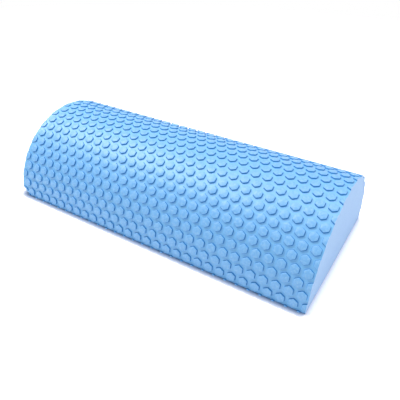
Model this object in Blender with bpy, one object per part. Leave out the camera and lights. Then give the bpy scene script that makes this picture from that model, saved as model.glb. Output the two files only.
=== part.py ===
"""Half round foam roller: a foam core, an embossed skin over the arch and a smooth base sheet.

Metres, +Z up. The origin is the middle of the flat face that lies on the floor, and +X runs
along the roller towards the end where every other row of nubs is sawn through its middle.
"""

import math

import bmesh
import bpy
from mathutils import Matrix

# The roller is made round, 150 mm over the nub tops, and is then sawn in half along its length
LENGTH = 0.300
RADIUS = 0.075
SAW_CUT = 0.002

# The embossed skin
SKIN_FLOOR = 0.003
NUB_HEIGHT = 0.0014
NUB_TOP_FLATS = 0.0070
NUB_PITCH = 0.0103
ROW_PITCH = 0.00892
FIRST_ROW_RISE = 0.0046

# The base sheet, and the glue line around every piece
BASE_SHEET = 0.003
GLUE_LINE = 0.0003

# Counts, and the lengths that only serve the modelling
NUB_SIDES = 6
ARC_STEPS = 36
CUT_OVERRUN = 0.010
WELD = 0.00001

# Worked out from the sizes above
BASE_RISE = SAW_CUT / 2
VALLEY_RADIUS = RADIUS - NUB_HEIGHT
SKIN_INNER_RADIUS = VALLEY_RADIUS - SKIN_FLOOR
CORE_RADIUS = SKIN_INNER_RADIUS - GLUE_LINE
BASE_ANGLE = math.asin(BASE_RISE / RADIUS)
ARC_LENGTH = RADIUS * (math.pi - 2 * BASE_ANGLE)
CELL_RADIUS = NUB_PITCH / (2 * math.cos(math.pi / NUB_SIDES))
ROW_SQUEEZE = ROW_PITCH / (CELL_RADIUS + CELL_RADIUS / 2)

SKIN_BLUE = (0.223, 0.497, 0.871, 1.0)
CORE_BLUE = (0.402, 0.591, 0.905, 1.0)
BASE_BLUE = (0.250, 0.513, 0.864, 1.0)


def clear_scene():
    """Leave nothing of the startup scene."""
    for obj in list(bpy.data.objects):
        bpy.data.objects.remove(obj)


def new_collection(name):
    """A collection of that name, linked to the scene."""
    collection = bpy.data.collections.new(name)
    bpy.context.scene.collection.children.link(collection)
    return collection


def foam_material(name, colour, roughness):
    """Matt closed-cell foam of one colour."""
    material = bpy.data.materials.new(name)
    material.use_nodes = True
    shader = material.node_tree.nodes["Principled BSDF"]
    shader.inputs["Base Color"].default_value = colour
    shader.inputs["Roughness"].default_value = roughness
    shader.inputs["Metallic"].default_value = 0.0
    return material


def object_from(bm, name, collection, material=None):
    """Turn the bmesh into an object with one material."""
    bmesh.ops.recalc_face_normals(bm, faces=bm.faces)
    mesh = bpy.data.meshes.new(name)
    bm.to_mesh(mesh)
    bm.free()
    if material:
        mesh.materials.append(material)
    obj = bpy.data.objects.new(name, mesh)
    collection.objects.link(obj)
    return obj


def trim(bm, point, outward):
    """Cut away what lies beyond the plane through the point."""
    bmesh.ops.bisect_plane(
        bm,
        geom=bm.verts[:] + bm.edges[:] + bm.faces[:],
        dist=WELD,
        plane_co=point,
        plane_no=outward,
        clear_outer=True,
    )


def roller_slice(radius, length, low, high):
    """A length of round foam lying along X, kept between two heights above the floor."""
    bm = bmesh.new()
    along_x = Matrix.Rotation(math.pi / 2, 4, "Y")
    bmesh.ops.create_cone(
        bm,
        cap_ends=True,
        segments=2 * ARC_STEPS,
        radius1=radius,
        radius2=radius,
        depth=length,
        matrix=Matrix.Translation((0, 0, -BASE_RISE)) @ along_x,
    )
    for height, outward in ((low, -1), (high, 1)):
        trim(bm, (0, 0, height), (0, 0, outward))
        open_edges = [edge for edge in bm.edges if edge.is_boundary]
        bmesh.ops.holes_fill(bm, edges=open_edges)
    return bm


def nub_centres():
    """Centres of the honeycomb's cells on the flat sheet, as (x, way along the arc)."""
    columns = math.ceil(LENGTH / NUB_PITCH) + 1
    rows = math.ceil((ARC_LENGTH - FIRST_ROW_RISE) / ROW_PITCH) + 1
    for row in range(-1, rows):
        shift = NUB_PITCH / 2 if row % 2 else 0
        for column in range(-1, columns):
            x = LENGTH / 2 - shift - column * NUB_PITCH
            yield x, FIRST_ROW_RISE + row * ROW_PITCH


def honeycomb_sheet():
    """The flat sheet: hexagons that share their edges, each drawn in and raised to a nub.

    A cell whose centre lies off the trimmed sheet stays flat.
    """
    bm = bmesh.new()
    nub_marks = []
    for x, arc in nub_centres():
        place = Matrix.Translation((x, arc, 0)) @ Matrix.Diagonal((1, ROW_SQUEEZE, 1, 1))
        bmesh.ops.create_circle(
            bm, cap_ends=True, radius=CELL_RADIUS, segments=NUB_SIDES, matrix=place
        )
        nub_marks.append(abs(x) <= LENGTH / 2 + WELD and 0 <= arc <= ARC_LENGTH)
    bm.faces.ensure_lookup_table()
    nub_faces = [face for face, marked in zip(bm.faces[:], nub_marks) if marked]
    bmesh.ops.remove_doubles(bm, verts=bm.verts, dist=WELD)
    bmesh.ops.inset_individual(
        bm,
        faces=nub_faces,
        thickness=(NUB_PITCH - NUB_TOP_FLATS) / 2,
        depth=NUB_HEIGHT,
        use_even_offset=True,
    )
    return bm


def wrap_round(bm):
    """Bend the flat sheet round the roller, from the front floor edge over the top."""
    for vert in bm.verts:
        x, arc, height = vert.co
        angle = BASE_ANGLE + arc / RADIUS
        reach = VALLEY_RADIUS + height
        vert.co = (x, -reach * math.cos(angle), reach * math.sin(angle) - BASE_RISE)


def close_block(bm):
    """Close the trimmed sheet with its two sawn ends and its flat face."""
    for side in (-1, 1):
        end_x = side * LENGTH / 2
        corners = [
            vert
            for vert in bm.verts
            if abs(vert.co.x - end_x) < WELD and abs(vert.co.z) < WELD
        ]
        front = min(corners, key=lambda vert: vert.co.y)
        back = max(corners, key=lambda vert: vert.co.y)
        bm.edges.new((front, back))
        rim = [
            edge
            for edge in bm.edges
            if len(edge.link_faces) < 2
            and all(abs(vert.co.x - end_x) < WELD for vert in edge.verts)
        ]
        bmesh.ops.contextual_create(bm, geom=rim)
    open_edges = [edge for edge in bm.edges if len(edge.link_faces) < 2]
    bmesh.ops.contextual_create(bm, geom=open_edges)


def cut_with(obj, cutter):
    """Take the cutter away from the object."""
    cut = obj.modifiers.new("cut_" + cutter.name, "BOOLEAN")
    cut.operation = "DIFFERENCE"
    cut.solver = "EXACT"
    cut.object = cutter


def make_cutter(bm, name, collection):
    """An object that only cuts: hidden from renders, drawn as wire."""
    cutter = object_from(bm, name, collection)
    cutter.hide_render = True
    cutter.display_type = "WIRE"
    return cutter


def build_nubbed_skin(parts, cutters):
    """The embossed sheet, wrapped over the arch and sawn flush at both ends and at the floor."""
    bm = honeycomb_sheet()
    wrap_round(bm)
    trim(bm, (LENGTH / 2, 0, 0), (1, 0, 0))
    trim(bm, (-LENGTH / 2, 0, 0), (-1, 0, 0))
    trim(bm, (0, 0, 0), (0, 0, -1))
    close_block(bm)
    bmesh.ops.triangulate(bm, faces=bm.faces)
    skin = object_from(bm, "nubbed_skin", parts, foam_material("embossed_eva", SKIN_BLUE, 0.55))
    bore = roller_slice(SKIN_INNER_RADIUS, LENGTH + 2 * CUT_OVERRUN, -CUT_OVERRUN, RADIUS)
    cut_with(skin, make_cutter(bore, "core_space", cutters))
    return skin


def build_foam_core(parts):
    """The load-bearing block, one glue line inside the skin and above the base sheet."""
    bm = roller_slice(CORE_RADIUS, LENGTH, BASE_SHEET + GLUE_LINE, RADIUS)
    return object_from(bm, "foam_core", parts, foam_material("sawn_eva", CORE_BLUE, 0.75))


def build_base_sheet(parts):
    """The smooth sheet on the floor side, let in between the two legs of the skin."""
    bm = roller_slice(CORE_RADIUS, LENGTH, 0, BASE_SHEET)
    return object_from(bm, "base_sheet", parts, foam_material("smooth_eva", BASE_BLUE, 0.6))


def main():
    """Build the roller."""
    clear_scene()
    parts = new_collection("half_round_foam_roller")
    cutters = new_collection("cutters")
    build_nubbed_skin(parts, cutters)
    build_foam_core(parts)
    build_base_sheet(parts)


main()
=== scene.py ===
"""The looks of a half round foam roller: embossed skin, sawn foam core and smooth base sheet.

Metres, +Z up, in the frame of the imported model. The origin is the middle of the flat face that
lies on the floor, and +X runs along the roller towards the end that the camera sees.
"""

import sys
import logging
import math
from abc import ABC, abstractmethod
from dataclasses import dataclass, field
from enum import Enum

import bmesh
import bpy
import numpy as np
from mathutils import Euler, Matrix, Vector, noise


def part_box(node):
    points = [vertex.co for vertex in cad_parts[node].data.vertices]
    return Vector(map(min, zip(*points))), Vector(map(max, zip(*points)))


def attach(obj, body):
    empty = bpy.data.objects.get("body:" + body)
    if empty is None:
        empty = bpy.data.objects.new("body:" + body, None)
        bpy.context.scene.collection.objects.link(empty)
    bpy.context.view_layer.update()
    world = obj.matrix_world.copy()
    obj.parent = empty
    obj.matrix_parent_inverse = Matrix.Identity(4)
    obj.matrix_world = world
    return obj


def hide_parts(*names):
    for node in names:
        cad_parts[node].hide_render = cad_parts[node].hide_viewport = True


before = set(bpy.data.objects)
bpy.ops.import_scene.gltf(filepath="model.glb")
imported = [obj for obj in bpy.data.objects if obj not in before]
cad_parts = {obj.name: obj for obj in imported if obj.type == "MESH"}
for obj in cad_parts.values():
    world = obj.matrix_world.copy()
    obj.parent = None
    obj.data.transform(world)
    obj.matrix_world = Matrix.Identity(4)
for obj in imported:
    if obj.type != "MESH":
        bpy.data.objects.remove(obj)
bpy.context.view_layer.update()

log = logging.getLogger("half_round_foam_roller")

BODY = "root"
WELD = 1e-6

# A hexagon whose flats face along the roller: half the turn from corner to corner, and its corners
HALF_SIDE = math.radians(30)
HEX_CORNERS = np.radians(30 + 60 * np.arange(6))

# The points in one outline of a nub
RING = 18

# The range that most of a noise lies in, and the bands of a Wave texture to a unit at scale 1
NOISE_LOW = 0.3
NOISE_HIGH = 0.7
WAVE_PERIODS = 3.18

# The colour sockets of a Mix node
MIX_SHARE = 0
MIX_FIRST = 6
MIX_SECOND = 7
MIX_RESULT = 2

Colour = tuple[float, float, float]
Place = tuple[float, float, float]


class End(Enum):
    """The two sawn ends of the roller, by the way along X that they face."""

    FAR = -1
    NEAR = 1


class Surface(Enum):
    """What a face of the skin is: its moulded outside, or foam that a blade went through."""

    MOULDED = 0
    SAWN = 1


class Mark(Enum):
    """Point attributes that tell a finish where on a nub it is."""

    # Painted shade on the nubs' flanks and feet, which also stand for foam compressed by the mould
    PRESSED_SHADE = "pressed"
    # Painted highlight along the turned edges of the nubs
    RIM_HIGHLIGHT = "rim"
    # Painted light on the valley floors, which lifts them against their shade
    VALLEY_PAINTED_LIGHT = "valley"


class Recipe:
    """A material's node tree, written one node at a time."""

    def __init__(self, name: str) -> None:
        """Start a material whose only shader is a Principled BSDF.

        Args:
            name: the material's name.
        """
        self.material = bpy.data.materials.new(name)
        self.material.use_nodes = True
        self.tree = self.material.node_tree
        self.tree.nodes.clear()
        self.shader = self.tree.nodes.new("ShaderNodeBsdfPrincipled")
        self.output = self.tree.nodes.new("ShaderNodeOutputMaterial")
        self.tree.links.new(self.shader.outputs["BSDF"], self.output.inputs["Surface"])
        self.place = self.tree.nodes.new("ShaderNodeTexCoord").outputs["Object"]

    def put(self, socket: bpy.types.NodeSocket, value: object) -> None:
        """Feed a socket from another socket, or set it to a plain value.

        Args:
            socket: the input to feed.
            value: an output socket, a number or a colour.
        """
        if isinstance(value, bpy.types.NodeSocket):
            self.tree.links.new(value, socket)
        elif isinstance(value, tuple) and len(value) < len(socket.default_value):
            socket.default_value = (*value, 1.0)
        else:
            socket.default_value = value

    def grain(self, size: float, detail: float = 2.0, rough: float = 0.5) -> bpy.types.NodeSocket:
        """Cloudy noise.

        Args:
            size: the width of one cloud.
            detail: how many finer layers it has.
            rough: how strong the finer layers are.

        Returns:
            The noise, from 0 to 1.
        """
        node = self.tree.nodes.new("ShaderNodeTexNoise")
        self.put(node.inputs["Vector"], self.place)
        self.put(node.inputs["Scale"], 1 / size)
        self.put(node.inputs["Detail"], detail)
        self.put(node.inputs["Roughness"], rough)
        return node.outputs["Fac"]

    def cells(self, size: float) -> bpy.types.NodeSocket:
        """Closed foam cells.

        Args:
            size: the width of one cell.

        Returns:
            The distance to the nearest cell's middle, in cells.
        """
        node = self.tree.nodes.new("ShaderNodeTexVoronoi")
        self.put(node.inputs["Vector"], self.place)
        self.put(node.inputs["Scale"], 1 / size)
        return node.outputs["Distance"]

    def saw_lines(self, spacing: float, wander: float) -> bpy.types.NodeSocket:
        """Lines across a cut face, at the heights where the blade's teeth passed.

        Args:
            spacing: from one line to the next.
            wander: how far the lines leave the straight.

        Returns:
            The lines, from 0 to 1.
        """
        node = self.tree.nodes.new("ShaderNodeTexWave")
        node.bands_direction = "Z"
        self.put(node.inputs["Vector"], self.place)
        self.put(node.inputs["Scale"], 1 / (WAVE_PERIODS * spacing))
        self.put(node.inputs["Distortion"], wander)
        self.put(node.inputs["Detail"], 2.0)
        return node.outputs["Fac"]

    def mark(self, mark: Mark) -> bpy.types.NodeSocket:
        """Read a mark off the mesh.

        Args:
            mark: the mark to read.

        Returns:
            How strong the mark is, from 0 to 1.
        """
        node = self.tree.nodes.new("ShaderNodeAttribute")
        node.attribute_name = mark.value
        return node.outputs["Fac"]

    def spread(self, value: bpy.types.NodeSocket, low: float, high: float) -> bpy.types.NodeSocket:
        """Stretch the middle of a noise over a range.

        Args:
            value: a noise, of which 0.3 to 0.7 is used.
            low: what 0.3 becomes.
            high: what 0.7 becomes.

        Returns:
            The stretched value.
        """
        node = self.tree.nodes.new("ShaderNodeMapRange")
        self.put(node.inputs["Value"], value)
        self.put(node.inputs["From Min"], NOISE_LOW)
        self.put(node.inputs["From Max"], NOISE_HIGH)
        self.put(node.inputs["To Min"], low)
        self.put(node.inputs["To Max"], high)
        return node.outputs["Result"]

    def ease(self, value: bpy.types.NodeSocket, low: float, high: float) -> bpy.types.NodeSocket:
        """Turn a mark that fades across the mesh into one with a soft edge of its own.

        Args:
            value: the mark.
            low: where the soft edge starts, which becomes 0.
            high: where it ends, which becomes 1.

        Returns:
            The mark with its soft edge.
        """
        node = self.tree.nodes.new("ShaderNodeMapRange")
        node.interpolation_type = "SMOOTHSTEP"
        self.put(node.inputs["Value"], value)
        self.put(node.inputs["From Min"], low)
        self.put(node.inputs["From Max"], high)
        return node.outputs["Result"]

    def blend(self, share: object, first: object, second: object) -> bpy.types.NodeSocket:
        """Mix two colours.

        Args:
            share: how much of the second colour there is.
            first: a colour, or a socket that gives one.
            second: a colour, or a socket that gives one.

        Returns:
            The mixed colour.
        """
        node = self.tree.nodes.new("ShaderNodeMix")
        node.data_type = "RGBA"
        self.put(node.inputs[MIX_SHARE], share)
        self.put(node.inputs[MIX_FIRST], first)
        self.put(node.inputs[MIX_SECOND], second)
        return node.outputs[MIX_RESULT]

    def bump(
        self, height: bpy.types.NodeSocket, depth: float, under: object = None
    ) -> bpy.types.NodeSocket:
        """A relief too fine for the mesh.

        Args:
            height: the relief, from 0 to 1.
            depth: how deep it is at full height.
            under: the normals of a coarser relief that it lies on, if any.

        Returns:
            The normals.
        """
        node = self.tree.nodes.new("ShaderNodeBump")
        self.put(node.inputs["Distance"], depth)
        self.put(node.inputs["Height"], height)
        if under is not None:
            self.put(node.inputs["Normal"], under)
        return node.outputs["Normal"]


@dataclass(frozen=True)
class EmbossedFoam:
    """The moulded outside of the skin: satin and fine-grained, with painted light and shade on it.

    Painted shade deepens the blue on the nubs' flanks and round their feet, where shade and blue
    interreflection fall; it also stands for foam compressed by the mould. Speckles of rubbed foam
    lie over the blue, a painted highlight lightens the turn of a nub's edge, and painted light
    lightens the floor of the valleys against their shade.
    """

    name: str = "embossed_eva"
    blue: Colour = (0.182, 0.494, 0.935)
    cloud: Colour = (0.172, 0.478, 0.920)
    # Painted shade: the deep blue of the flanks and feet, standing for their shade and
    # interreflection
    pressed: Colour = (0.008, 0.222, 0.600)
    # Painted highlight: the lighter blue on the turn of a nub's edge
    rim: Colour = (0.240, 0.580, 0.990)
    rubbed: Colour = (0.325, 0.635, 0.995)
    # Painted light: the valley floors lighter, against the shade between the nubs
    valley: Colour = (0.216, 0.580, 1.0)
    pressed_shade_from: float = 0.35
    pressed_shade_full: float = 0.8
    roughness: float = 0.42
    roughness_swing: float = 0.07
    pressed_roughness: float = 0.5
    specular: float = 0.7
    cloud_size: float = 0.028
    speckle_size: float = 0.0017
    speckle_least: float = -0.45
    speckle_most: float = 0.7
    grain_size: float = 0.00045
    grain_depth: float = 0.00003
    dimple_size: float = 0.004
    dimple_depth: float = 0.00012

    def material(self) -> bpy.types.Material:
        """Make the finish.

        Returns:
            The material.
        """
        recipe = Recipe(self.name)
        cloudy = recipe.spread(recipe.grain(self.cloud_size), 0.0, 1.0)
        speckles = recipe.grain(self.speckle_size)
        speckled = recipe.spread(speckles, self.speckle_least, self.speckle_most)
        colour = recipe.blend(cloudy, self.blue, self.cloud)
        colour = recipe.blend(speckled, colour, self.rubbed)
        # Painted light on the valley floors
        colour = recipe.blend(recipe.mark(Mark.VALLEY_PAINTED_LIGHT), colour, self.valley)
        # Painted highlight on the nubs' turned edges
        colour = recipe.blend(recipe.mark(Mark.RIM_HIGHLIGHT), colour, self.rim)
        # Painted shade on the flanks and round the nubs' feet
        pressed = recipe.ease(recipe.mark(Mark.PRESSED_SHADE), self.pressed_shade_from, self.pressed_shade_full)
        colour = recipe.blend(pressed, colour, self.pressed)
        recipe.put(recipe.shader.inputs["Base Color"], colour)
        rough = recipe.spread(
            speckles, self.roughness - self.roughness_swing, self.roughness + self.roughness_swing
        )
        rough = recipe.blend(pressed, rough, (self.pressed_roughness,) * 3)
        recipe.put(recipe.shader.inputs["Roughness"], rough)
        recipe.put(recipe.shader.inputs["Specular IOR Level"], self.specular)
        soft = recipe.bump(recipe.grain(self.dimple_size), self.dimple_depth)
        fine = recipe.bump(recipe.grain(self.grain_size, detail=3.0), self.grain_depth, soft)
        recipe.put(recipe.shader.inputs["Normal"], fine)
        return recipe.material


@dataclass(frozen=True)
class SawnFoam:
    """Foam that a blade went through: paler and matt, with cut cells and faint saw lines."""

    name: str = "sawn_eva"
    pale: Colour = (0.430, 0.640, 0.965)
    cloud: Colour = (0.415, 0.625, 0.950)
    cell: Colour = (0.350, 0.570, 0.905)
    roughness: float = 0.78
    cloud_size: float = 0.018
    cell_size: float = 0.0006
    cell_share: float = 0.3
    cell_depth: float = 0.00004
    line_spacing: float = 0.0021
    line_wander: float = 1.6
    line_depth: float = 0.00003

    def material(self) -> bpy.types.Material:
        """Make the finish.

        Returns:
            The material.
        """
        recipe = Recipe(self.name)
        cloudy = recipe.spread(recipe.grain(self.cloud_size), 0.0, 1.0)
        pitted = recipe.cells(self.cell_size)
        colour = recipe.blend(cloudy, self.pale, self.cloud)
        colour = recipe.blend(recipe.spread(pitted, self.cell_share, 0.0), colour, self.cell)
        recipe.put(recipe.shader.inputs["Base Color"], colour)
        recipe.put(recipe.shader.inputs["Roughness"], self.roughness)
        lines = recipe.bump(recipe.saw_lines(self.line_spacing, self.line_wander), self.line_depth)
        recipe.put(recipe.shader.inputs["Normal"], recipe.bump(pitted, self.cell_depth, lines))
        return recipe.material


@dataclass(frozen=True)
class SmoothSheetFoam:
    """The base sheet: smooth moulded foam with a fine even grain."""

    name: str = "smooth_eva"
    blue: Colour = (0.262, 0.525, 0.875)
    cloud: Colour = (0.240, 0.505, 0.860)
    roughness: float = 0.6
    roughness_swing: float = 0.06
    cloud_size: float = 0.035
    grain_size: float = 0.0005
    grain_depth: float = 0.00002

    def material(self) -> bpy.types.Material:
        """Make the finish.

        Returns:
            The material.
        """
        recipe = Recipe(self.name)
        cloudy = recipe.spread(recipe.grain(self.cloud_size, detail=4.0), 0.0, 1.0)
        recipe.put(recipe.shader.inputs["Base Color"], recipe.blend(cloudy, self.blue, self.cloud))
        fine = recipe.grain(self.grain_size, detail=3.0)
        rough = recipe.spread(
            fine, self.roughness - self.roughness_swing, self.roughness + self.roughness_swing
        )
        recipe.put(recipe.shader.inputs["Roughness"], rough)
        recipe.put(recipe.shader.inputs["Normal"], recipe.bump(fine, self.grain_depth))
        return recipe.material


@dataclass(frozen=True)
class HalfRound:
    """The space that the pieces share: a round bar's upper half, its axis just below the floor.

    Each piece stops short of its neighbour by the seam's width, on its own side of where they meet.
    """

    length: float
    radius: float
    inner_radius: float
    base_top: float
    axis_drop: float = 0.001
    seam: float = 0.00002

    @classmethod
    def from_frame(cls) -> "HalfRound":
        """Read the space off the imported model: outside, skin to core, and core to base sheet.

        Returns:
            The space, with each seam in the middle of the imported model's glue line.
        """
        skin_low, skin_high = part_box("nubbed_skin")
        core_low, core_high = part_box("foam_core")
        sheet_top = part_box("base_sheet")[1].z
        glue_line = core_low.z - sheet_top
        return cls(
            length=skin_high.x - skin_low.x,
            radius=skin_high.z + cls.axis_drop,
            inner_radius=core_high.z + cls.axis_drop + glue_line / 2,
            base_top=sheet_top + glue_line / 2,
        )

    @property
    def floor_angle(self) -> float:
        """How far round the arch, seen from the axis, the floor cuts it off."""
        return math.asin(self.axis_drop / self.radius)

    def half_width(self, radius: float, height: float) -> float:
        """Half the width of a round bar of that radius, at a height above the floor."""
        return math.sqrt(radius**2 - (height + self.axis_drop) ** 2)


@dataclass(frozen=True)
class NubLattice:
    """Where the nubs stand on the flat sheet: rows along the roller, every other one shifted."""

    pitch: float = 0.0103
    row_pitch: float = 0.00892
    first_row_rise: float = 0.00565
    first_row: int = -1
    last_row: int = 26

    @property
    def cell_radius(self) -> float:
        """From a cell's middle to the corner of its hexagon."""
        return self.pitch / (2 * math.cos(HALF_SIDE))

    @property
    def row_squeeze(self) -> float:
        """How much closer the rows lie than in a regular honeycomb."""
        return self.row_pitch / (1.5 * self.cell_radius)

    def centres(self, length: float) -> np.ndarray:
        """The middles of all cells that reach into the roller's length.

        Args:
            length: the roller's length. Row 0 has a nub right on its near end.

        Returns:
            One line for each cell: its place along the roller, and along the arc from the floor.
        """
        found = []
        for row in range(self.first_row, self.last_row + 1):
            along = length / 2 - (self.pitch / 2 if row % 2 else 0)
            while along + self.pitch / 2 > WELD - length / 2:
                found.append((along, self.first_row_rise + row * self.row_pitch))
                along -= self.pitch
        return np.array(found)


@dataclass(frozen=True)
class Nub:
    """One embossed nub: a low hexagonal block with rounded corners, a soft edge and a soft foot."""

    height: float = 0.0014
    top_flats: float = 0.0070
    foot_flats: float = 0.00705
    corner_radius: float = 0.0009
    edge_radius: float = 0.0005
    foot_rise: float = 0.0001
    foot_spread: float = 0.0004
    dish: float = 0.0001
    # How much painted highlight the top face and the turned edge take
    top_rim_highlight: float = 0.3
    edge_rim_highlight: float = 0.2
    # How much painted shade the flank's top edge and the foot ring take
    edge_pressed_shade: float = 0.9
    foot_pressed_shade: float = 0.38
    cell_edge_share: float = 0.22
    height_swing: float = 0.00005
    lean_swing: float = 0.012

    def rings(self) -> list[tuple[float, float, float, float, float]]:
        """The outline at each level, from the top face down to the valley.

        Returns:
            For each level, half its width across flats, its height, and its three marks: how much
            painted shade it takes on flank and foot, where the foam is compressed; how much painted
            highlight it takes on the bright rim; and how much painted light on the valley floor.
        """
        top = self.top_flats / 2
        foot = self.foot_flats / 2
        turned = self.edge_radius * (1 - math.sqrt(0.5))
        return [
            (top - self.edge_radius, self.height, 0.0, self.top_rim_highlight, 0.0),
            (top - turned, self.height - turned, 0.0, 1.0, 0.0),
            (top, self.height - self.edge_radius, self.edge_pressed_shade, self.edge_rim_highlight, 0.0),
            (foot, self.foot_rise, 1.0, 0.0, 0.0),
            (foot + self.foot_spread, 0.0, self.foot_pressed_shade, 0.0, 1.0),
        ]

    def outline(self, half_flats: float) -> np.ndarray:
        """A hexagon with round corners, three points to a corner.

        Args:
            half_flats: half its width across flats. The flats face along the roller.

        Returns:
            The 18 points, anticlockwise.
        """
        round_off = min(self.corner_radius, half_flats / 2)
        corners = HEX_CORNERS[:, None]
        turns = np.array([-1, 0, 1])[None, :] * HALF_SIDE
        reach = (half_flats - round_off) / math.cos(HALF_SIDE)
        x = reach * np.cos(corners) + round_off * np.cos(corners + turns)
        y = reach * np.sin(corners) + round_off * np.sin(corners + turns)
        return np.stack([x.ravel(), y.ravel()], axis=1)

    def cell_outline(self, lattice: NubLattice) -> np.ndarray:
        """The cell's own hexagon, with the points that it shares with its neighbours.

        Args:
            lattice: the lattice that the cell belongs to.

        Returns:
            18 points: each corner, and one point on the side before it and after it.
        """
        corners = lattice.cell_radius * np.stack([np.cos(HEX_CORNERS), np.sin(HEX_CORNERS)], axis=1)
        corners[:, 1] *= lattice.row_squeeze
        before = corners + (np.roll(corners, 1, axis=0) - corners) * self.cell_edge_share
        after = corners + (np.roll(corners, -1, axis=0) - corners) * self.cell_edge_share
        return np.stack([before, corners, after], axis=1).reshape(-1, 2)

    def pattern(self, lattice: NubLattice) -> tuple[np.ndarray, np.ndarray, list[tuple[int, ...]]]:
        """One cell of the sheet, from the middle of its nub out to its neighbours.

        Args:
            lattice: the lattice that the cell belongs to.

        Returns:
            The points, the marks of each point (painted shade, painted highlight, painted light in
            the valley), and the faces.
        """
        points = [(0.0, 0.0, self.height - self.dish)]
        marks = [(0.0, 0.0, 0.0)]
        for half_flats, height, *levels in self.rings():
            points += [(x, y, height) for x, y in self.outline(half_flats)]
            marks += [tuple(levels)] * RING
        points += [(x, y, 0.0) for x, y in self.cell_outline(lattice)]
        marks += [(0.0, 0.0, 1.0)] * RING
        faces = [(0, 1 + i, 1 + (i + 1) % RING) for i in range(RING)]
        for ring in range(len(self.rings())):
            inner = 1 + ring * RING
            outer = inner + RING
            for i in range(RING):
                j = (i + 1) % RING
                faces.append((inner + i, outer + i, outer + j, inner + j))
        return np.array(points), np.array(marks), faces


def random_source(seed: int) -> np.random.Generator:
    """The same draws each time for the same seed."""
    return np.random.default_rng(seed)


def object_of(
    bm: bmesh.types.BMesh, name: str, materials: list[bpy.types.Material]
) -> bpy.types.Object:
    """Make an object of a finished mesh.

    Args:
        bm: the mesh, which is freed.
        name: the name of the piece.
        materials: its materials, in the order of its faces' indices.

    Returns:
        The object, linked to the scene.
    """
    bmesh.ops.recalc_face_normals(bm, faces=bm.faces)
    mesh = bpy.data.meshes.new(name)
    bm.to_mesh(mesh)
    bm.free()
    for material in materials:
        mesh.materials.append(material)
    piece = bpy.data.objects.new(name, mesh)
    bpy.context.scene.collection.objects.link(piece)
    return piece


def declare(piece: bpy.types.Object, node: str) -> bpy.types.Object:
    """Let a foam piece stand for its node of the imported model.

    Args:
        piece: the dressed piece.
        node: the node that it replaces.

    Returns:
        The piece.
    """
    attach(piece, BODY)
    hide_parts(node)
    return piece


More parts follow.
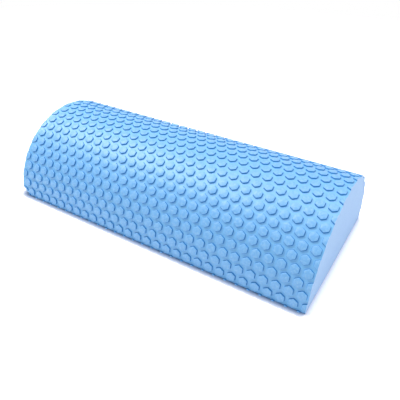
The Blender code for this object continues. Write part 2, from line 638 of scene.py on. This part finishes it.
@dataclass
class EmbossedSkin:
    """The foam sheet over the arch, with its nubs, sawn off at both ends and at the floor."""

    space: HalfRound
    lattice: NubLattice = field(default_factory=NubLattice)
    nub: Nub = field(default_factory=Nub)
    moulded: EmbossedFoam = field(default_factory=EmbossedFoam)
    sawn: SawnFoam = field(default_factory=SawnFoam)
    stretch: float = 0.12
    flattened: float = 0.007
    flattened_relief: float = 0.25
    worn_reach: float = 0.0095
    worn_strip: float = 0.0114
    worn_shift: Place = (0.0026, 0.0010, 0.0042)
    sag: float = 0.00012
    sag_size: float = 0.045
    inner_steps: int = 72
    seed: int = 11

    @property
    def inner_radius(self) -> float:
        """The skin's inside, a seam's width outside the circle where it meets the core."""
        return self.space.inner_radius + self.space.seam

    def flat_sheet(self) -> tuple[np.ndarray, np.ndarray, np.ndarray]:
        """All cells side by side on the flat sheet, each nub with its own small lean and height.

        Returns:
            The points (along, round, up), their marks, and the faces as lists of point numbers.
        """
        points, marks, faces = self.nub.pattern(self.lattice)
        centres = self.lattice.centres(self.space.length)
        draw = random_source(self.seed)
        cells = np.repeat(points[None], len(centres), axis=0)
        share_up = points[:, 2] / self.nub.height
        swing = draw.uniform(-1, 1, (len(centres), 3))
        lift = swing[:, :1] * self.nub.height_swing
        lean = (swing[:, 1:] @ points[:, :2].T) * self.nub.lean_swing
        cells[..., 2] += (lift + lean) * share_up
        cells[..., :2] += centres[:, None, :]
        shifts = np.arange(len(centres)) * len(points)
        all_faces = [tuple(shift + i for i in face) for shift in shifts for face in faces]
        return cells.reshape(-1, 3), np.tile(marks, (len(centres), 1)), all_faces

    def wrap(self, flat: np.ndarray) -> np.ndarray:
        """Bend the sheet round the arch, from the front floor edge over the top.

        The nubs stand a little taller towards the floor, as if the sheet were drawn tight over the
        crown. Along the far end the relief is flatter, as if a clamp had held it for the saw.

        Args:
            flat: points as (along the roller, round the arc, up from the valley).

        Returns:
            The points in the frame.
        """
        angle = self.space.floor_angle + flat[:, 1] / self.space.radius
        clear = np.clip((flat[:, 0] + self.space.length / 2) / self.flattened, 0, 1)
        eased = clear * clear * (3 - 2 * clear)
        relief = self.flattened_relief + (1 - self.flattened_relief) * eased
        relief *= 1 + self.stretch * np.cos(angle) ** 2
        places = flat[:, :2] / self.sag_size
        sag = np.array([noise.noise((x, arc, self.seed)) for x, arc in places])
        below_top = (self.nub.height - flat[:, 2]) * relief
        reach = np.minimum(self.space.radius - below_top + sag * self.sag, self.space.radius)
        return np.stack(
            [flat[:, 0], -reach * np.cos(angle), reach * np.sin(angle) - self.space.axis_drop],
            axis=1,
        )

    def outside(self) -> bmesh.types.BMesh:
        """Wrap the sheet and trim it flush with the two ends and the floor.

        Returns:
            The skin's outside, open along the cuts.
        """
        flat, marks, faces = self.flat_sheet()
        mesh = bpy.data.meshes.new("flat_sheet")
        mesh.from_pydata(self.wrap(flat).tolist(), [], faces)
        for mark, values in zip(Mark, marks.T):
            layer = mesh.attributes.new(mark.value, "FLOAT", "POINT")
            layer.data.foreach_set("value", values.astype(np.float32))
        bm = bmesh.new()
        bm.from_mesh(mesh)
        bpy.data.meshes.remove(mesh)
        bmesh.ops.remove_doubles(bm, verts=bm.verts, dist=WELD)
        half = self.space.length / 2
        cuts = (((half, 0, 0), (1, 0, 0)), ((-half, 0, 0), (-1, 0, 0)), ((0, 0, 0), (0, 0, -1)))
        for point, outward in cuts:
            bmesh.ops.bisect_plane(
                bm,
                geom=bm.verts[:] + bm.edges[:] + bm.faces[:],
                dist=WELD,
                plane_co=point,
                plane_no=outward,
                clear_outer=True,
            )
        return bm

    def inner_arc(self, bm: bmesh.types.BMesh, end: End) -> list[bmesh.types.BMVert]:
        """Add the points of the skin's inside at one end.

        Args:
            bm: the mesh to add them to.
            end: which of the two ends.

        Returns:
            The points, from the front floor edge over the top.
        """
        drop = self.space.axis_drop
        start = math.asin(drop / self.inner_radius)
        return [
            bm.verts.new((
                end.value * self.space.length / 2,
                -self.inner_radius * math.cos(turn),
                max(self.inner_radius * math.sin(turn) - drop, 0.0),
            ))
            for turn in np.linspace(start, math.pi - start, self.inner_steps + 1)
        ]

    def end_face(
        self,
        bm: bmesh.types.BMesh,
        end: End,
        rim: list[bmesh.types.BMVert],
        arc: list[bmesh.types.BMVert],
    ) -> bmesh.types.BMFace:
        """Add the sawn face of one end, between the skin's outside and its inside.

        Args:
            bm: the mesh to add it to.
            end: which of the two ends.
            rim: the open rim of the outside.
            arc: the points of the inside at that end.

        Returns:
            The face.
        """
        plane = end.value * self.space.length / 2
        profile = [vert for vert in rim if abs(vert.co.x - plane) < WELD]
        profile.sort(key=lambda vert: math.atan2(vert.co.z + self.space.axis_drop, -vert.co.y))
        return bm.faces.new(profile + arc[::-1])

    def floor_faces(
        self,
        bm: bmesh.types.BMesh,
        side: int,
        rim: list[bmesh.types.BMVert],
        far: bmesh.types.BMVert,
        near: bmesh.types.BMVert,
    ) -> list[bmesh.types.BMFace]:
        """Add the sawn edge of the skin that stands on the floor, at the front or at the back.

        Its last stretch at the far end is a short face of its own, so that a worn corner there
        leaves the long face flat.

        Args:
            bm: the mesh to add them to.
            side: -1 for the front, 1 for the back.
            rim: the open rim of the outside.
            far: the inside's point on the floor at the far end.
            near: the inside's point on the floor at the near end.

        Returns:
            The two faces.
        """
        edge = [vert for vert in rim if abs(vert.co.z) < WELD and side * vert.co.y > 0]
        edge.sort(key=lambda vert: vert.co.x)
        strip = bm.faces.new(edge + [near, far])
        share = self.worn_strip / self.space.length
        joint = bmesh.utils.edge_split(bm.edges.get((far, near)), far, share)[1]
        beside = min(edge, key=lambda vert: abs(vert.co.x - joint.co.x))
        return [strip, bmesh.utils.face_split(strip, joint, beside)[0]]

    def close(self, bm: bmesh.types.BMesh) -> None:
        """Add the inside, the two sawn ends and the two sawn edges on the floor.

        Args:
            bm: the outside, whose open rim runs along the ends and the floor.
        """
        rim = [vert for vert in bm.verts if vert.is_boundary]
        far, near = (self.inner_arc(bm, end) for end in End)
        sawn = [
            bm.faces.new((far[i], near[i], near[i + 1], far[i + 1])) for i in range(self.inner_steps)
        ]
        sawn += [self.end_face(bm, end, rim, arc) for end, arc in zip(End, (far, near))]
        for side, index in ((-1, 0), (1, -1)):
            sawn += self.floor_faces(bm, side, rim, far[index], near[index])
        for face in sawn:
            face.material_index = Surface.SAWN.value

    def wear_corner(self, bm: bmesh.types.BMesh) -> None:
        """Round off the worn far front corner, which stands a little off the floor.

        Args:
            bm: the closed skin. Its inside stays where it is.
        """
        corner = Vector((-self.space.length / 2, -self.space.half_width(self.space.radius, 0), 0))
        shift = Vector(self.worn_shift)
        for vert in bm.verts:
            close_by = 1 - (vert.co - corner).length_squared / self.worn_reach**2
            if close_by > 0:
                depth = math.hypot(vert.co.y, vert.co.z + self.space.axis_drop) - self.inner_radius
                outer = min(max(depth / (self.space.radius - self.inner_radius), 0), 1)
                vert.co += shift * close_by**2 * outer

    def build(self) -> bpy.types.Object:
        """Make the skin and dress it.

        Returns:
            The piece.
        """
        bm = self.outside()
        self.close(bm)
        self.wear_corner(bm)
        open_edges = sum(1 for edge in bm.edges if not edge.is_manifold)
        for face in bm.faces:
            face.smooth = face.material_index == Surface.MOULDED.value
        for edge in bm.edges:
            edge.smooth = all(face.smooth for face in edge.link_faces)
        skin = object_of(bm, "embossed_skin", [self.moulded.material(), self.sawn.material()])
        log.info("embossed_skin: %d faces, %d open edges", len(skin.data.polygons), open_edges)
        return declare(skin, "nubbed_skin")


@dataclass
class SawnBlock(ABC):
    """A length of foam with a flat section, sawn off square at both ends."""

    space: HalfRound
    columns: int = 64
    rows: int = 24
    saw_depth: float = 0.00012
    saw_size: float = 0.007
    saw_stretch: float = 5.0
    seed: int = 23

    @abstractmethod
    def section(self, across: float, up: float) -> tuple[float, float]:
        """Where a point of the section lies.

        Args:
            across: the share of the way from the front to the back.
            up: the share of the way from the bottom to the top.

        Returns:
            The point, as (y, z).
        """

    def saw_mark(self, y: float, z: float, end: End) -> float:
        """How deep the blade went into an end at a point, in long shallow waves across it.

        Args:
            y: across the roller.
            z: above the floor.
            end: which of the two ends.

        Returns:
            The depth below the end's plane.
        """
        place = (y / (self.saw_size * self.saw_stretch), z / self.saw_size, self.seed + end.value)
        return self.saw_depth * min(max(0.5 + noise.noise(place), 0.0), 1.0)

    def run(self) -> bmesh.types.BMesh:
        """Run the section along the roller.

        Returns:
            The closed block, with the same fine grid on both ends.
        """
        bm = bmesh.new()
        bmesh.ops.create_grid(bm, x_segments=self.columns, y_segments=self.rows, size=1)
        half = self.space.length / 2
        for vert in bm.verts:
            y, z = self.section((vert.co.x + 1) / 2, (vert.co.y + 1) / 2)
            vert.co = (half, y, z)
        bmesh.ops.remove_doubles(bm, verts=bm.verts, dist=WELD)
        grown = bmesh.ops.extrude_face_region(bm, geom=bm.faces[:])
        copies = [item for item in grown["geom"] if isinstance(item, bmesh.types.BMVert)]
        bmesh.ops.translate(bm, verts=copies, vec=(-2 * half, 0, 0))
        for vert in bm.verts:
            end = End.NEAR if vert.co.x > 0 else End.FAR
            vert.co.x -= end.value * self.saw_mark(vert.co.y, vert.co.z, end)
        return bm


@dataclass
class SawnCore(SawnBlock):
    """The load-bearing half round of foam under the skin."""

    finish: SawnFoam = field(default_factory=SawnFoam)

    def section(self, across: float, up: float) -> tuple[float, float]:
        """A point of the section: columns that stand on the base sheet and end at the arch.

        Args:
            across: the share of the way from the front to the back.
            up: the share of the way from the base sheet to the arch.

        Returns:
            The point, as (y, z).
        """
        radius = self.space.inner_radius - self.space.seam
        floor = self.space.base_top + self.space.seam
        start = math.asin((floor + self.space.axis_drop) / radius)
        turn = start + across * (math.pi - 2 * start)
        arch = radius * math.sin(turn) - self.space.axis_drop
        return -radius * math.cos(turn), floor + up * (arch - floor)

    def build(self) -> bpy.types.Object:
        """Make the core and dress it.

        Returns:
            The piece.
        """
        core = object_of(self.run(), "sawn_core", [self.finish.material()])
        log.info("sawn_core: %d faces", len(core.data.polygons))
        return declare(core, "foam_core")


@dataclass
class BaseSheet(SawnBlock):
    """The thin smooth sheet on the floor side, let in between the two legs of the skin."""

    rows: int = 2
    finish: SmoothSheetFoam = field(default_factory=SmoothSheetFoam)
    sawn: SawnFoam = field(default_factory=SawnFoam)
    lengths: int = 120
    wave: float = 0.0001
    wave_size: float = 0.020

    def section(self, across: float, up: float) -> tuple[float, float]:
        """A point of the section, whose two sides follow the inside of the skin.

        Args:
            across: the share of the way from the front to the back.
            up: the share of the way from the floor to the core.

        Returns:
            The point, as (y, z).
        """
        height = up * (self.space.base_top - self.space.seam)
        half_width = self.space.half_width(self.space.inner_radius - self.space.seam, height)
        return (2 * across - 1) * half_width, height

    def build(self) -> bpy.types.Object:
        """Make the sheet, let its underside rise and fall a little, and dress it.

        Returns:
            The piece.
        """
        bm = self.run()
        half = self.space.length / 2
        end_skin = half - 2 * self.saw_depth
        long_edges = [edge for edge in bm.edges if edge.calc_length() > half]
        bmesh.ops.subdivide_edges(bm, edges=long_edges, cuts=self.lengths - 1, use_grid_fill=True)
        for vert in bm.verts:
            if vert.co.z < WELD and abs(vert.co.x) < end_skin:
                place = (vert.co.x / self.wave_size, vert.co.y / self.wave_size, self.seed)
                vert.co.z = self.wave * min(max(noise.noise(place), 0.0), 1.0)
        for face in bm.faces:
            cut = all(abs(vert.co.x) > end_skin for vert in face.verts)
            face.material_index = Surface.SAWN.value if cut else Surface.MOULDED.value
        sheet = object_of(bm, "base_sheet_foam", [self.finish.material(), self.sawn.material()])
        log.info("base_sheet_foam: %d faces", len(sheet.data.polygons))
        return declare(sheet, "base_sheet")


@dataclass(frozen=True)
class SoftLamp:
    """One round soft light, aimed at the roller."""

    name: str
    place: Place
    power: float
    size: float = 0.7

    def hang(self) -> None:
        """Put the light into the scene."""
        light = bpy.data.lights.new(self.name, "AREA")
        light.shape = "DISK"
        light.size = self.size
        light.energy = self.power
        lamp = bpy.data.objects.new(self.name, light)
        lamp.location = self.place
        lamp.rotation_euler = (-lamp.location).to_track_quat("-Z", "Y").to_euler()
        bpy.context.scene.collection.objects.link(lamp)


@dataclass(frozen=True)
class Studio:
    """A white sweep, soft lights round the roller, and the photograph's camera."""

    floor_radius: float = 1.2
    floor_sides: int = 96
    floor_drop: float = 0.00005
    opening_half: tuple[float, float] = (0.1485, 0.0715)
    floor_white: float = 0.92
    floor_shown: Colour = (1.70, 1.62, 1.66)
    # Painted contact shadow on the floor: its colour, reach, tilt and fade
    painted_shadow_colour: Colour = (0.16, 0.25, 0.40)
    painted_shadow_reach: float = 0.0068
    painted_shadow_open_to: Place = (0.6, 0.5, 0.6)
    painted_shadow_fade: float = 3.4
    ambient: float = 0.43
    key: SoftLamp = SoftLamp("key_softbox", (-0.64, -0.14, 1.0), 7.8)
    fill: SoftLamp = SoftLamp("fill_softbox", (1.1, 0.0, 0.5), 3.35)
    overhead: SoftLamp = SoftLamp("overhead_softbox", (0.0, 0.2, 1.17), 3.0)
    camera_place: Place = (0.19694, -0.30740, 0.24005)
    camera_turn_deg: Place = (57.340, -1.449, 31.678)
    focal_pixels: float = 437.6
    picture_pixels: float = 400.0
    sensor_mm: float = 36.0

    def lay_floor(self) -> None:
        """A wide pale floor, which shows white to the camera and keeps the roller's shadow, with a
        painted contact shadow close round the roller.

        An opening hidden under the roller lets the underside be looked at from below.
        """
        bm = bmesh.new()
        bmesh.ops.create_circle(bm, radius=self.floor_radius, segments=self.floor_sides)
        half_x, half_y = self.opening_half
        quarters = ((1, 1), (-1, 1), (-1, -1), (1, -1))
        corners = [bm.verts.new((x * half_x, y * half_y, 0)) for x, y in quarters]
        for first, second in zip(corners, corners[1:] + corners[:1]):
            bm.edges.new((first, second))
        bmesh.ops.triangle_fill(bm, edges=bm.edges[:], use_beauty=True)
        bmesh.ops.translate(bm, verts=bm.verts[:], vec=(0, 0, -self.floor_drop))
        recipe = Recipe("white_sweep")
        tree = recipe.tree
        tree.nodes.remove(recipe.shader)
        diffuse = tree.nodes.new("ShaderNodeBsdfDiffuse")
        # Painted contact shadow: the colour the camera sees darkens close round the roller
        shown_with_painted_shadow = recipe.blend(self.painted_contact_shadow(recipe), self.painted_shadow_colour, self.floor_shown)
        white = recipe.blend(self.seen_by_camera(tree), (self.floor_white,) * 3, shown_with_painted_shadow)
        recipe.put(diffuse.inputs["Color"], white)
        recipe.put(recipe.output.inputs["Surface"], diffuse.outputs["BSDF"])
        floor = object_of(bm, "floor", [recipe.material])

    def painted_contact_shadow(self, recipe: Recipe) -> bpy.types.NodeSocket:
        """A painted contact shadow: how open the floor is, close round the roller.

        Args:
            recipe: the floor's material.

        Returns:
            1 on the open floor, and less where the roller stands close on the side it is open to.
        """
        nodes = recipe.tree.nodes
        open_to = nodes.new("ShaderNodeCombineXYZ")
        for axis, value in zip("XYZ", Vector(self.painted_shadow_open_to).normalized()):
            recipe.put(open_to.inputs[axis], value)
        openness = nodes.new("ShaderNodeAmbientOcclusion")
        recipe.put(openness.inputs["Distance"], self.painted_shadow_reach)
        recipe.put(openness.inputs["Normal"], open_to.outputs["Vector"])
        faded = nodes.new("ShaderNodeMath")
        faded.operation = "POWER"
        recipe.put(faded.inputs[0], openness.outputs["AO"])
        recipe.put(faded.inputs[1], self.painted_shadow_fade)
        return faded.outputs["Value"]

    def seen_by_camera(self, tree: bpy.types.NodeTree) -> bpy.types.NodeSocket:
        """Tell what the camera sees, straight or in a reflection, from what lights the scene.

        Args:
            tree: the node tree to add to.

        Returns:
            1 where the camera sees it, and 0 elsewhere.
        """
        path = tree.nodes.new("ShaderNodeLightPath")
        seen = path.outputs["Is Camera Ray"]
        for name in ("Is Glossy Ray", "Is Transmission Ray"):
            either = tree.nodes.new("ShaderNodeMath")
            either.operation = "MAXIMUM"
            tree.links.new(seen, either.inputs[0])
            tree.links.new(path.outputs[name], either.inputs[1])
            seen = either.outputs[0]
        return seen

    def light_room(self) -> None:
        """White surroundings, dimmer as a light than they look to the camera."""
        world = bpy.data.worlds.new("white_room")
        world.use_nodes = True
        background = world.node_tree.nodes["Background"]
        background.inputs["Color"].default_value = (1.0, 1.0, 1.0, 1.0)
        strength = world.node_tree.nodes.new("ShaderNodeMapRange")
        strength.inputs["To Min"].default_value = self.ambient
        world.node_tree.links.new(self.seen_by_camera(world.node_tree), strength.inputs["Value"])
        world.node_tree.links.new(strength.outputs["Result"], background.inputs["Strength"])
        bpy.context.scene.world = world

    def set_camera(self) -> None:
        """The camera where the photograph was taken from."""
        lens = bpy.data.cameras.new("camera")
        lens.sensor_width = self.sensor_mm
        lens.lens = self.focal_pixels / self.picture_pixels * self.sensor_mm
        camera = bpy.data.objects.new("camera", lens)
        camera.location = self.camera_place
        camera.rotation_euler = Euler([math.radians(turn) for turn in self.camera_turn_deg])
        bpy.context.scene.collection.objects.link(camera)
        bpy.context.scene.camera = camera

    def build(self) -> None:
        """Lay the floor, light the room and place the camera."""
        self.lay_floor()
        self.light_room()
        for lamp in (self.key, self.fill, self.overhead):
            lamp.hang()
        self.set_camera()
        bpy.context.scene.view_settings.view_transform = "Standard"


def main() -> None:
    """Dress the roller piece by piece and set up the studio."""
    logging.basicConfig(level=logging.INFO, format="%(message)s", stream=sys.stdout)
    space = HalfRound.from_frame()
    log.info("space: %s", space)
    for sub_assembly in (SawnCore(space), EmbossedSkin(space), BaseSheet(space)):
        sub_assembly.build()
    Studio().build()


if __name__ == "__main__":
    main()
